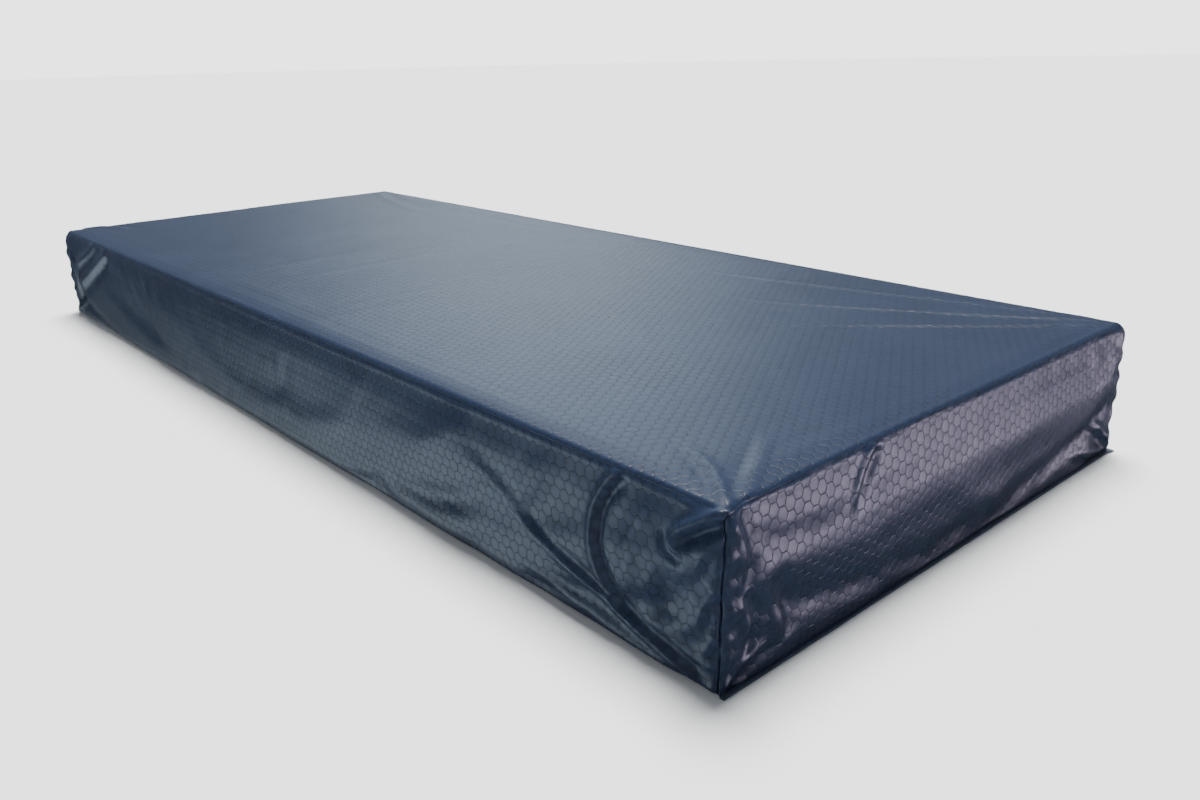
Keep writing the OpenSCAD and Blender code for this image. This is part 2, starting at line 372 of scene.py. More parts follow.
# each has its wall, points, rise, width, dip, leaning side, and the shares of its run that fade
drawn = [
    # the tuck that runs down from the near top corner, and the puckers under it
    (on_side, [(0, 202), (30, 184), (66, 158)], 9.5, 6.0, 1.0, 1, 0.02, 0.2),
    (on_side, [(68, 162), (64, 148), (44, 146)], 4.5, 5.0, 0.8, -1, 0.2, 0.3),
    (on_side, [(2, 176), (20, 158), (34, 126)], 2.6, 5.0, 0.8, 1, 0.05, 0.5),
    (on_side, [(3, 120), (20, 96), (28, 60)], 2.2, 5.0, 0.8, 1, 0.1, 0.4),
    (on_side, [(3, 74), (14, 52), (30, 40)], 2.0, 4.5, 0.8, 1, 0.1, 0.4),
    # the crescent on the long side
    (on_side, [(128, 192), (150, 172), (166, 138), (162, 100), (138, 62), (120, 48)],
     -5.2, 6.0, 0.85, -1, 0.12, 0.25),
    (on_side, [(84, 186), (110, 150), (122, 108), (112, 66)], 2.6, 14.0, 0.4, -1, 0.3, 0.3),
    (on_side, [(60, 130), (72, 90), (58, 40)], -2.6, 14.0, 0.3, -1, 0.3, 0.3),
    # the long pull from the near bottom corner
    (on_side, [(22, 8), (110, 34), (220, 66), (400, 112)], 4.4, 6.0, 0.9, -1, 0.05, 0.5),
    (on_side, [(40, 6), (190, 20), (330, 44)], 2.4, 8.0, 0.6, -1, 0.1, 0.5),
    (on_side, [(240, 60), (330, 110), (430, 150)], 2.2, 10.0, 0.6, -1, 0.3, 0.5),
    # broad soft folds further along
    (on_side, [(225, 190), (290, 130), (370, 70), (460, 20)], 3.4, 24.0, 0.6, 1, 0.3, 0.3),
    (on_side, [(390, 196), (450, 140), (560, 80)], 2.6, 26.0, 0.6, 1, 0.3, 0.4),
    (on_side, [(600, 190), (690, 120), (800, 60)], 1.4, 30.0, 0.5, 1, 0.3, 0.4),
    # the pull near the head end
    (on_side, [(1720, 196), (1800, 150), (1880, 112), (1950, 84)], 4.4, 12.0, 0.9, 1, 0.1, 0.3),
    (on_side, [(1800, 198), (1880, 160), (1960, 130)], 2.8, 11.0, 0.8, 1, 0.1, 0.3),
    (on_side, [(1990, 170), (1960, 110), (1975, 50)], 3.4, 13.0, 0.6, 1, 0.3, 0.3),
    (on_side, [(1890, 60), (1960, 30), (2010, 12)], 2.8, 9.0, 0.6, -1, 0.4, 0.1),
    # ridges that fan out of the far foot corner, over the top panel
    (on_top, [(14, 872), (180, 760), (380, 640), (560, 560)], 1.9, 7.0, 0.6, 1, 0.05, 0.5),
    (on_top, [(12, 860), (120, 730), (260, 590), (400, 470)], 1.9, 7.0, 0.6, 1, 0.05, 0.5),
    (on_top, [(24, 880), (260, 810), (520, 740), (700, 700)], 1.6, 8.0, 0.5, 1, 0.05, 0.5),
    # long ridges along the far side, and a crease by the near head corner
    (on_top, [(2000, 866), (1700, 815), (1350, 790), (1020, 775)], 1.7, 13.0, 0.6, 1, 0.1, 0.5),
    (on_top, [(2010, 846), (1760, 760), (1460, 715), (1200, 690)], 1.5, 14.0, 0.6, 1, 0.1, 0.5),
    (on_top, [(2016, 40), (1960, 96), (1870, 110)], 3.4, 14.0, 0.9, 1, 0.05, 0.5),
    # faint ones by the near foot corner
    (on_top, [(6, 12), (70, 60), (150, 96)], 2.0, 7.0, 0.7, 1, 0.1, 0.6),
    (on_top, [(4, 30), (50, 110), (96, 190)], 1.5, 8.0, 0.6, 1, 0.1, 0.6),
    # the foot end
    (on_foot, [(250, 200), (220, 168), (196, 124)], 3.4, 7.0, 0.9, 1, 0.1, 0.4),
    (on_foot, [(60, 104), (82, 66), (84, 26)], 3.6, 11.0, 0.7, 1, 0.2, 0.2),
    (on_foot, [(12, 192), (26, 150), (16, 110)], 3.0, 8.0, 0.7, 1, 0.1, 0.2),
    (on_foot, [(18, 104), (36, 74), (26, 30)], 3.0, 7.0, 0.8, 1, 0.15, 0.15),
    (on_foot, [(4, 8), (40, 30), (96, 46)], 2.8, 7.0, 0.8, -1, 0.05, 0.5),
    (on_foot, [(6, 20), (30, 60), (60, 110), (110, 150)], 1.8, 12.0, 0.5, -1, 0.1, 0.5),
    (on_foot, [(885, 10), (838, 48), (770, 84)], 4.0, 8.0, 0.9, 1, 0.05, 0.5),
    (on_foot, [(880, 4), (806, 22), (712, 44)], 3.0, 8.0, 0.8, 1, 0.05, 0.5),
    (on_foot, [(600, 20), (480, 60), (380, 120)], 1.8, 22.0, 0.5, 1, 0.3, 0.4),
]
folds = [([place(*spot) for spot in spots], *shape) for place, spots, *shape in drawn]
print(len(folds), "folds placed")

# %% [markdown]
# The unseen walls get folds of the same kind, drawn with a seeded generator so that each run
# makes the same ones. They start at the corners, where such a cover is always pulled.

# %% Add folds on the hidden sides
chance = np.random.default_rng(7)
for wall in ("zip side", "head"):
    for corner in (0, 1):
        for k in range(4):
            reach = chance.uniform(90, 330)
            rise = chance.uniform(1.4, 2.8)
            start_up = chance.uniform(6, 190)
            end_up = float(np.clip(start_up + chance.uniform(-70, 70), 30, 170))
            span = 2 * half_length * 1000 if wall == "zip side" else 2 * half_width * 1000
            middle_up = (start_up + end_up) / 2 + chance.uniform(-14, 14)
            run = [(4, start_up), (reach * 0.5, middle_up), (reach, end_up)]
            if corner:
                run = [(span - a, z) for a, z in run]
            if wall == "zip side":
                path = [(half_length - a / 1000, half_width + height - z / 1000 - turn_loss) for a, z in run]
            else:
                path = [(-(half_length + height - z / 1000 - turn_loss), -half_width + a / 1000)
                        for a, z in run]
            folds.append((path, rise, chance.uniform(8, 14), 0.7, 1 if k % 2 else -1, 0.06, 0.5))
print(len(folds), "folds with the hidden sides")

# %% [markdown]
# Between the folds the cloth is never flat. A smooth noise in space gives it slow swells, with
# a finer one for the small dents of a coated fabric. The walls also have a shape of their own:
# tight over the top edge, full below it, and drawn in again towards the floor.

# %% Shape the whole cover
def swell(points, size, seed):
    """Smooth noise from about -1 to 1 with features of a given size."""
    shift = Vector((seed * 3.7, seed * 1.9, seed * 5.3))
    return np.array([noise.noise(Vector(p) / size + shift) for p in points])


def wall_belly(points, panel):
    """How far a wall stands out, by its height. It is tight at the top edge and full below it."""
    up = [0.0, 0.006, 0.03, 0.08, 0.125, 0.158, 0.185, 0.197, height]
    side_out = np.array([-2.2, -1.8, -0.8, 0.9, 2.2, 1.8, -0.6, -1.6, -2.0]) * mm
    end_out = np.array([-1.6, -1.4, -0.8, 0.8, 3.6, 2.4, -1.4, -2.2, -2.4]) * mm
    wall = panel > 0
    ends = panel >= 3
    out = np.where(ends, np.interp(points[:, 2], up, end_out), np.interp(points[:, 2], up, side_out))
    on_panel_edge = np.minimum(half_length - np.abs(points[:, 0]), half_width - np.abs(points[:, 1]))
    top_out = -2.2 * mm * np.exp(-on_panel_edge / 0.022)
    return np.where(wall, out, top_out)


def seam_distance(points):
    """Distance from the nearest upright seam, along the cloth."""
    return np.hypot(half_length - np.abs(points[:, 0]), half_width - np.abs(points[:, 1]))


height_out = wall_belly(sharp, panel)
for path, rise, width, dip, lean, start, end in folds:
    height_out += fold(flat, path, rise * mm, width * mm, dip, lean, start, end)
height_out += 0.9 * mm * swell(base_points, 0.21, 1) + 0.5 * mm * swell(base_points, 0.085, 2)
height_out += np.where(panel > 0, 0.32, 0.12) * mm * swell(base_points, 0.03, 3)
to_seam = seam_distance(sharp)
puckers = np.sin(sharp[:, 2] / 0.0046 + 2.2 * swell(base_points, 0.03, 4))
on_wall = (panel > 0) & (sharp[:, 2] < height - 0.004)
height_out += np.where(on_wall, 1.1 * mm * puckers * np.exp(-((to_seam - 0.009) / 0.011) ** 2), 0)
groove_depth = np.clip((height + 0.001 - sharp[:, 2]) / 0.012, 0.25, 1)
height_out -= np.where(panel > 0, 3.8 * mm * groove_depth * np.exp(-(to_seam / 0.0019) ** 2), 0)
cover_points = base_points + outward * height_out[:, None] + settled_shift
stands = ((cover_points - base_points) * outward).sum(1)
kept = np.clip(stands, -4.7 * mm, 9 * mm)
cover_points += outward * (kept - stands)[:, None]
cover_points[:, 2] = np.maximum(cover_points[:, 2], 0.3 * mm)
print("cloth stands from", round(kept.min() * 1000, 2), "to", round(kept.max() * 1000, 2), "mm")

# %% [markdown]
# The long side nearest the camera rolls under at the floor, where its seam is turned in. On the
# zip side the wall ends in a hem a little above the floor, which turns in to meet the zip.

# %% Roll the lower edge and turn in the hem
roll = 0.008
plain_side = panel == 1
low_part = np.clip(roll - cover_points[:, 2], 0, roll)
cover_points[plain_side, 1] += (roll - np.sqrt(roll**2 - low_part**2))[plain_side]
hem_up = 0.0395
hem_reach = 0.968
hemmed = (panel == 2) & (sharp[:, 2] < hem_up) & (np.abs(sharp[:, 0]) < hem_reach)
share = (hem_up - sharp[hemmed, 2]) / hem_up
cover_points[hemmed, 2] = hem_up - 0.0009 * np.sin(share * math.pi / 2)
cover_points[hemmed, 1] = half_width - 0.0078 * share
print("hem:", int(hemmed.sum()), "points turned in over the zip")

# %% [markdown]
# The points and faces become a mesh, which carries two things for its finish: the place on the
# flat cloth, so that the woven pattern runs on over the edges as on the real cover, and how far
# each point lies from an upright seam, where the finish paints shade into the seam's groove.

# %% Make the cover's mesh
def mesh_piece(name, points, faces, smooth=True):
    """A mesh object that rides on the mattress."""
    piece = plain_object(name, points, faces)
    piece.data.update()
    piece.data.shade_smooth() if smooth else piece.data.shade_flat()
    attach(piece, "mattress")
    return piece


def store(piece, name, values):
    """A value or vector kept on each point of a mesh, for its material to read."""
    values = np.asarray(values, np.float32)
    kind = "FLOAT" if values.ndim == 1 else "FLOAT_VECTOR"
    layer = piece.data.attributes.new(name, kind, "POINT")
    layer.data.foreach_set("value" if values.ndim == 1 else "vector", values.reshape(-1))


def stand_in(name, points, faces, node, slot, smooth=True):
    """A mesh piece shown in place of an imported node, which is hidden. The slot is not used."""
    piece = mesh_piece(name, points, faces, smooth)
    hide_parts(node)
    return piece


cover = stand_in("cover", cover_points, faces, "cover_top", "cover_fabric")
store(cover, "cloth", np.column_stack([flat, np.zeros(len(flat))]))
store(cover, "seam_gap", to_seam)
print("cover:", len(cover.data.polygons), "faces")

# %% [markdown]
# ## Finishes
#
# Finishes are built from shader nodes. To keep the sums readable, one small class wraps a
# socket, so that `1 - mask` or `a * b` adds the Math node that does it. Any other node comes
# from its one method, which sets the node up first and then connects its sockets.

# %% Write shader maths as plain sums
class Wire:
    """One output in a material's node tree."""

    def __init__(self, tree, socket=None):
        self.tree, self.socket = tree, socket

    def node(self, kind, settings=None, sockets=None, out=0):
        made = self.tree.nodes.new(kind)
        for name, value in (settings or {}).items():
            setattr(made, name, value)
        for name, value in (sockets or {}).items():
            if isinstance(value, Wire):
                self.tree.links.new(value.socket, made.inputs[name])
            else:
                made.inputs[name].default_value = value
        return Wire(self.tree, made.outputs[out])

    def math(self, operation, *others):
        values = {k: v for k, v in enumerate((self, *others))}
        return self.node("ShaderNodeMath", {"operation": operation}, values)

    def __add__(self, other):
        return self.math("ADD", other)

    def __sub__(self, other):
        return self.math("SUBTRACT", other)

    def __mul__(self, other):
        return self.math("MULTIPLY", other)

    def __truediv__(self, other):
        return self.math("DIVIDE", other)

    def __rsub__(self, other):
        return (self * -1.0) + other

    def __rtruediv__(self, other):
        return self.math("POWER", -1.0) * other

    __radd__, __rmul__ = __add__, __mul__

    def ramp(self, low, high, start=0.0, end=1.0):
        """A smooth step from start to end as the value goes from low to high."""
        return self.node(
            "ShaderNodeMapRange", {"interpolation_type": "SMOOTHSTEP"},
            {"Value": self, "From Min": low, "From Max": high, "To Min": start, "To Max": end})


def finish(name, **constants):
    """A new material, its wire to build with, and its shader node with the constant values set."""
    made = bpy.data.materials.new(name)
    made.use_nodes = True
    shader = made.node_tree.nodes["Principled BSDF"]
    for socket, value in constants.items():
        shader.inputs[socket.replace("_", " ")].default_value = value
    return made, Wire(made.node_tree), shader


def object_place(wire):
    return wire.node("ShaderNodeTexCoord", None, None, out=3)


def cloudy(wire, place, scale, detail, **more):
    """Smooth noise, from 0 to 1."""
    return wire.node("ShaderNodeTexNoise", None, {"Vector": place, "Scale": scale, "Detail": detail, **more})


def connect(shader, **wires):
    for socket, wire in wires.items():
        wire.tree.links.new(wire.socket, shader.inputs[socket.replace("_", " ")])


def bump(wire, height, depth, strength=1.0):
    """A normal from a height in 0 to 1 that stands for that depth in metres."""
    return wire.node("ShaderNodeBump", None, {"Strength": strength, "Distance": depth, "Height": height})


def blend_colour(wire, amount, *colours):
    """From the first colour to the second. A plain colour is a tuple of three numbers."""
    first, second = ((*c, 1) if isinstance(c, tuple) else c for c in colours)
    return wire.node("ShaderNodeMix", {"data_type": "RGBA"}, {0: amount, 6: first, 7: second}, out=2)


print("shader helpers ready")

# %% [markdown]
# The cover's cloth is woven in small hexagons under a soft, glossy coating. Each cell is
# slightly domed, and its outline is a narrow groove. A hexagon's edge is found with sums: two
# offset grids of rectangles give the nearest cell centre, and three directions give the
# distance to the cell's border. The cells are fifteen millimetres apart, in rows along the
# length.

# %% Draw the hexagon cells
cell = 0.0152


def hexagon_edge(wire, place):
    """0 on a cell's border, rising to 0.5 at its centre."""
    split = wire.node("ShaderNodeSeparateXYZ", None, {0: place}, out=0)
    x = split / cell
    y = Wire(wire.tree, split.socket.node.outputs[1]) / cell
    tall = math.sqrt(3)
    ax = x.math("FLOORED_MODULO", 1.0) - 0.5
    ay = y.math("FLOORED_MODULO", tall) - tall / 2
    bx = (x + 0.5).math("FLOORED_MODULO", 1.0) - 0.5
    by = (y + tall / 2).math("FLOORED_MODULO", tall) - tall / 2
    nearer = (ax * ax + ay * ay).math("LESS_THAN", bx * bx + by * by)
    gx = (bx + (ax - bx) * nearer).math("ABSOLUTE")
    gy = (by + (ay - by) * nearer).math("ABSOLUTE")
    return 0.5 - (gx * 0.5 + gy * (tall / 2)).math("MAXIMUM", gx)


coated, wire, shader = finish(
    "coated hexagon cloth", IOR=1.31, Sheen_Weight=0.05, Sheen_Roughness=0.4,
    Sheen_Tint=(0.55, 0.62, 0.85, 1.0))
cloth = wire.node("ShaderNodeAttribute", {"attribute_name": "cloth"}, out=1)
gap = wire.node("ShaderNodeAttribute", {"attribute_name": "seam_gap"}, out=2)
wander = wire.node("ShaderNodeTexNoise", None, {"Vector": cloth, "Scale": 38.0, "Detail": 1.0}, out=1)
shifted = wire.node("ShaderNodeVectorMath", {"operation": "SCALE"}, {0: wander, "Scale": 0.0016})
place = wire.node("ShaderNodeVectorMath", {"operation": "ADD"}, {0: cloth, 1: shifted})
edge = hexagon_edge(wire, place)
outline = edge.ramp(0.0, 0.055, 1.0, 0.0)
dome = edge.ramp(0.0, 0.34)
print("hexagon cells", cell * 1000, "mm apart")

# %% [markdown]
# The colour is a deep steel blue that drifts a little from place to place. The outlines are a
# shade paler in themselves, but they lie in grooves, so they read as dark lines where the cloth
# shines. Fine creases from packing and a tight knit give the gloss its soft breakup.

# %% Finish the coated cloth
broad = cloudy(wire, cloth, 5.0, 3.0)
fine = cloudy(wire, cloth, 95.0, 3.0, Roughness=0.6)
grain = cloudy(wire, cloth, 900.0, 2.0)
knit = wire.node("ShaderNodeTexWave", {"wave_type": "BANDS", "bands_direction": "DIAGONAL"},
                 {"Vector": cloth, "Scale": 420.0, "Distortion": 1.5, "Detail": 1.0})
deep, pale = (0.0072, 0.0122, 0.0300), (0.0105, 0.0178, 0.0400)
body_colour = blend_colour(wire, broad.ramp(0.35, 0.65), deep, pale)
cell_colour = blend_colour(wire, dome, body_colour, (0.0125, 0.0215, 0.0460))
lined = blend_colour(wire, outline * 0.35, cell_colour, (0.018, 0.028, 0.050))
# Painted shade: the colour goes darker in the groove of each upright seam.
seam_groove_painted_shade = gap.ramp(0.0, 0.0035, 0.15, 0.0)
colour = blend_colour(wire, seam_groove_painted_shade, lined, (0.008, 0.012, 0.028))
roughness = 0.32 + fine * 0.10 + outline * 0.05
relief = dome * 0.25 - outline * 0.42 + fine * 0.30 + grain * 0.04 + knit * 0.02
connect(shader, Base_Color=colour, Roughness=roughness, Normal=bump(wire, relief, 0.00042, 0.9))
cover.data.materials.append(coated)
print("coated cloth:", len(coated.node_tree.nodes), "nodes")

# %% [markdown]
# ## The fin and the turned-in seams
#
# At the foot and head ends the wall and the base are sewn with their edges outside, which leaves
# a narrow fin along the floor. It is a folded strip swept across the width: its section is
# a flat loop, and it waves a little, as stitched cloth does.

# %% Sweep a folded strip
def swept(sections):
    """Points and faces of a strip from a row of closed sections with the same number of points."""
    rows = np.array(sections)
    count, around = rows.shape[:2]
    ids = np.arange(count * around).reshape(count, around)
    after = np.roll(ids, -1, axis=1)
    quads = np.stack([ids[:-1], ids[1:], after[1:], after[:-1]], -1).reshape(-1, 4).tolist()
    quads += [ids[0][::-1].tolist(), ids[-1].tolist()]
    return rows.reshape(-1, 3), quads


def seam_fin(name, sign, node):
    """The folded fin along one end wall's lower edge."""
    loop = np.array([(-2.6, 0.5), (1.8, 0.35), (3.3, 0.6), (3.9, 1.15),
                     (3.3, 1.75), (1.8, 2.0), (0.2, 2.3), (-2.6, 2.6)])
    sections = []
    for y in np.linspace(-half_width + 0.004, half_width - 0.0005, 190):
        wave = noise.noise(Vector((y * 22, 3.1 * sign, 0))) * 0.55
        wave += noise.noise(Vector((y * 7, 1.7, 0))) * 0.5
        ear = math.exp(-((half_width - y) / 0.012) ** 2)
        out = loop[:, 0] * (1 + 0.10 * wave) + 3.4 * ear * (loop[:, 0] > 0)
        high = loop[:, 1] + np.maximum(loop[:, 0], 0) * (0.10 * wave + 0.10)
        x = sign * (half_length + out / 1000)
        sections.append(np.column_stack([x, np.full(len(loop), y), high / 1000]))
    return stand_in(name, *swept(sections), node, "seam_fabric")


foot_fin = seam_fin("foot_fin", 1, "base_seam_foot")
head_fin = seam_fin("head_fin", -1, "base_seam_head")
print("fins:", len(foot_fin.data.polygons), "faces each")

# %% [markdown]
# Thread shows as a row of short stitches. Each stitch is a small rounded rod that dips into the
# cloth at both ends. A whole row is one mesh.

# %% Sew a row of stitches
def stitches(name, path, out, length=0.0026, gap=0.0012, thick=0.00022):
    """A row of stitches along a line of points, lifted outwards."""
    path, out = np.array(path, float), np.array(out, float)
    steps = np.linalg.norm(np.diff(path, axis=0), axis=1)
    run = np.concatenate([[0], np.cumsum(steps)])
    points, quads = [], []
    bead = [(0, -0.3, 0.5), (0.18, 0.5, 1), (0.5, 0.8, 1.05), (0.82, 0.5, 1), (1, -0.3, 0.5)]
    for start in np.arange(0.001, run[-1] - length, length + gap):
        rows = []
        for share, lift, size in bead:
            at = start + share * length
            centre = np.array([np.interp(at, run, path[:, k]) for k in range(3)])
            ahead = np.array([np.interp(at + 1e-4, run, path[:, k]) for k in range(3)]) - centre
            ahead /= np.linalg.norm(ahead)
            aside = np.cross(ahead, out)
            turns = np.arange(6) * math.pi / 3
            ring = thick * size * (np.cos(turns)[:, None] * aside + np.sin(turns)[:, None] * out)
            rows.append(centre + out * lift * thick + ring)
        block, faces_here = swept(rows)
        first = len(points) * len(block)
        points.append(block)
        quads += [[i + first for i in face] for face in faces_here]
    made = mesh_piece(name, np.concatenate(points), quads)
    return made


fin_threads = []
for end, sign in (("foot", 1), ("head", -1)):
    ys = np.linspace(-half_width + 0.008, half_width - 0.008, 60)
    line = [(sign * (half_length + 0.0021), y, 0.00225) for y in ys]
    fin_threads.append(stitches(end + "_fin_stitches", line, (0, 0, 1)))
print("stitches:", [len(r.data.polygons) for r in fin_threads], "faces")

# %% [markdown]
# The upright seams are inverted: both layers turn in at the corner and are taped together
# inside. Each allowance is a folded strip that runs up the corner, behind the groove.

# %% Fold the upright seam allowances
def corner_allowance(name, sx, sy, node):
    corner = np.array([sx * half_length, sy * half_width])
    inward = -np.array([sx, sy]) / math.sqrt(2)
    aside = np.array([-inward[1], inward[0]])
    loop = [(10.3, -0.6), (14.0, -0.75), (15.0, -0.4), (15.0, 0.4), (14.0, 0.75), (10.3, 0.6)]
    sections = []
    for z in np.linspace(0.008, 0.178, 46):
        wave = 0.35 * noise.noise(Vector((z * 45, sx * 2.0, sy * 3.0)))
        flat_points = [corner + (inward * d + aside * (t + wave)) / 1000 for d, t in loop]
        sections.append([(q[0], q[1], z) for q in flat_points])
    return stand_in(name, *swept(sections), node, "seam_fabric")


corners = [("foot_left", 1, 1), ("foot_right", 1, -1), ("head_left", -1, 1), ("head_right", -1, -1)]
allowances = [corner_allowance("allowance_" + n, sx, sy, "corner_seam_" + n) for n, sx, sy in corners]
side_low, side_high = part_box("base_seam_side")
tape_y = side_low[1] + 0.0062
tape_loop = [(-0.3, 1.2), (-0.3, 18.6), (0.1, 19.0), (0.4, 18.6), (0.4, 1.2)]
sections = []
for x in np.linspace(side_low[0], side_high[0], 160):
    sag = 0.0003 * noise.noise(Vector((x * 18, 0, 5)))
    sections.append([(x, tape_y + a / 1000, z / 1000 + sag) for a, z in tape_loop])
side_tape = stand_in("side_seam_tape", *swept(sections), "base_seam_side", "seam_fabric")
print("allowances:", [a.name for a in allowances])

# %% [markdown]
# ## The base panel
#
# The base is a plain panel of tougher cloth. It lies flat on the floor, meets the rolled edge
# and the fins, and turns up at the back to carry the lower half of the zip.

# %% Make the base panel
flange_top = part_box("cover_base")[1][2]
turn_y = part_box("zip_tape_lower")[0][1]
xs = spaced(-half_length + 0.001, half_length - 0.001, 0.016)
ys = np.concatenate([spaced(-half_width + 0.0072, turn_y - 0.0002, 0.016), np.full(4, turn_y)])
rise = np.concatenate([np.full(len(ys) - 4, 0.0), np.linspace(0.003, flange_top, 4)])
gx, gy = np.meshgrid(xs, ys, indexing="ij")
gz = 0.0006 + np.tile(rise, (len(xs), 1))
hollow = np.array([noise.noise(Vector((a * 6, b * 6, 9))) for a, b in zip(gx.ravel(), gy.ravel())])
gz += np.where(rise[None, :] > 0, 0, 0.0003 * (1 + hollow.reshape(gx.shape)))
cut = np.minimum(0, (half_width - np.abs(gy)) + (half_length - np.abs(gx)) - 0.009)
gx = gx - np.sign(gx) * np.clip(-cut, 0, 0.006)
panel_points = np.stack([gx, gy, gz], -1).reshape(-1, 3)
base_faces = grid_faces(np.arange(gx.size).reshape(gx.shape).T)
base = stand_in("base_panel", panel_points, base_faces, "cover_base", "base_fabric")
print("base panel:", len(base.data.polygons), "faces")

# %% [markdown]
# ## Inside the cover
#
# The core is wrapped in a knitted fire barrier sock. Its form is the cover's, a little smaller,
# with a recess along the zip side where the zip has its room.

# %% Knit the sock
sock_low = 0.0048
sock_down = np.append(rough_down[:-1], 0.0052)
sock_sharp, _, sock_faces, sock_grids = lay_out(rough_along, rough_across, sock_down)
sock_points, sock_out = round_off(sock_sharp, inset=0.0054, radius=0.015)
sock_points += sock_out * 0.00016 * swell(sock_points, 0.05, 6)[:, None]
sock_points[:, 2] = np.maximum(sock_points[:, 2], sock_low)
recess_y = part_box("zip_guard")[0][1] - 0.0035
recessed = (sock_points[:, 2] < 0.058) & (np.abs(sock_points[:, 0]) < 0.985) & (sock_points[:, 1] > recess_y)
sock_points[recessed, 1] = recess_y
under = sock_grids[0]
under_points = sock_points[under].reshape(-1, 3).copy()
under_points[:, 2] = sock_low
under_points[:, 1] = np.minimum(under_points[:, 1], recess_y)
under_faces = grid_faces(len(sock_points) + np.arange(under.size).reshape(under.shape).T)
sock_points = np.concatenate([sock_points, under_points])
sock_faces = np.concatenate([sock_faces, under_faces])
sock = stand_in("barrier_sock", sock_points, sock_faces, "fire_barrier_sock", "sock")
print("sock:", len(sock.data.polygons), "faces")

# %% [markdown]
# ## The zip
#
# The zip lies in the recess under the hem. Its tapes, and the guard behind it, are woven strips
# built here. Its teeth, stops, slider and pull are hard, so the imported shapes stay, and the
# slider and pull get a small bevel, as cast parts have.

# %% Weave the tapes and the guard
def woven_strip(name, node, slot_name, thick, spare=0.0):
    """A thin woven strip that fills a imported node's box and runs on by spare at both ends."""
    low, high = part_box(node)
    sections = []
    for x in np.linspace(low[0] - spare, high[0] + spare, 240):
        wave = 0.00018 * noise.noise(Vector((x * 30, low[2] * 90, 0)))
        middle = (high[1] + low[1]) / 2 if high[1] - low[1] < 0.003 else low[1] + thick
        ys = [middle - thick / 2 + wave, middle + thick / 2 + wave]
        sections.append([(x, ys[0], low[2]), (x, ys[0], (low[2] + high[2]) / 2), (x, ys[0], high[2]),
                         (x, ys[1], high[2]), (x, ys[1], (low[2] + high[2]) / 2), (x, ys[1], low[2])])
    return stand_in(name, *swept(sections), node, slot_name, smooth=False)


upper_tape = woven_strip("upper_tape", "zip_tape_upper", "zip_tape", 0.0009, spare=0.021)
lower_tape = woven_strip("lower_tape", "zip_tape_lower", "zip_tape", 0.0009, spare=0.021)
guard = woven_strip("zip_guard_strip", "zip_guard", "seam_fabric", 0.0008, spare=0.021)
for name in ("zip_slider", "zip_pull"):
    edge_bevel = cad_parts[name].modifiers.new("edge", "BEVEL")
    edge_bevel.width, edge_bevel.segments, edge_bevel.limit_method = 0.00035, 2, "ANGLE"
print("zip strips:", upper_tape.name, lower_tape.name, guard.name)

# %% [markdown]
# The care label is a blank woven patch on the head end. It follows the wall it is sewn to, so
# its points take their place from the nearest points of the cover.

# %% Sew on the care label
label_low, label_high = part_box("care_label")
head_wall = cover_points[panel == 4]
ys = np.linspace(label_low[1], label_high[1], 24)
zs = np.linspace(label_low[2], label_high[2], 16)
gy, gz = np.meshgrid(ys, zs, indexing="ij")
spots = np.column_stack([gy.ravel(), gz.ravel()])
near = head_wall[(np.abs(head_wall[:, 1]) < 0.08) & (head_wall[:, 2] < 0.1)]
gaps = ((spots[:, None, :] - near[None, :, 1:]) ** 2).sum(-1)
weight = np.exp(-gaps / 0.006**2)
wall_x = (weight * near[None, :, 0]).sum(1) / weight.sum(1)
front = np.column_stack([wall_x - 0.0012, spots])
back = np.column_stack([wall_x - 0.0006, spots])
ids = np.arange(gy.size).reshape(gy.shape)
rim = np.concatenate([ids[:, 0], ids[-1, 1:], ids[-2::-1, -1], ids[0, -2:0:-1]])
step = np.roll(rim, -1)
sides = np.stack([rim, rim + gy.size, step + gy.size, step], -1)
label_points, label_faces = np.concatenate([front, back]), np.concatenate([grid_faces(ids), sides])
label = stand_in("care_patch", label_points, label_faces, "care_label", "label")
label_middle = 0.037
rim_path = front[rim] * np.array([1, 0.965, 1])
rim_path[:, 2] = (rim_path[:, 2] - label_middle) * 0.94 + label_middle
label_thread = stitches("care_patch_stitches", np.vstack([rim_path, rim_path[:1]]), (-1, 0, 0))
print("care patch:", len(label.data.polygons), "faces")

# %% [markdown]
# ## The other finishes
#
# The seam cloth and the base cloth share the cover's colour without its cells. They are woven,
# so their relief is two crossed bands.

# %% Finish the plain cloths
def woven(name, colour, dark, scale, depth, rough, sheen=0.1):
    """A plain weave: two crossed bands give its relief and its small changes of colour."""
    made, wire, shader = finish(name, Sheen_Weight=sheen, IOR=1.42)
    place = object_place(wire)
    bands = [wire.node("ShaderNodeTexWave", {"wave_type": "BANDS", "bands_direction": way},
                       {"Vector": place, "Scale": scale, "Distortion": 0.4}, out=1) for way in "XZY"]
    weave = (bands[0] + bands[1] + bands[2]) / 3.0
    drift = cloudy(wire, place, 24.0, 4.0)
    base = blend_colour(wire, drift.ramp(0.3, 0.7), dark, colour)
    worn = blend_colour(wire, weave.ramp(0.2, 0.8), base, tuple(min(1, c * 1.25) for c in colour))
    connect(shader, Base_Color=worn, Roughness=rough + drift * 0.12, Normal=bump(wire, weave, depth, 0.8))
    return made


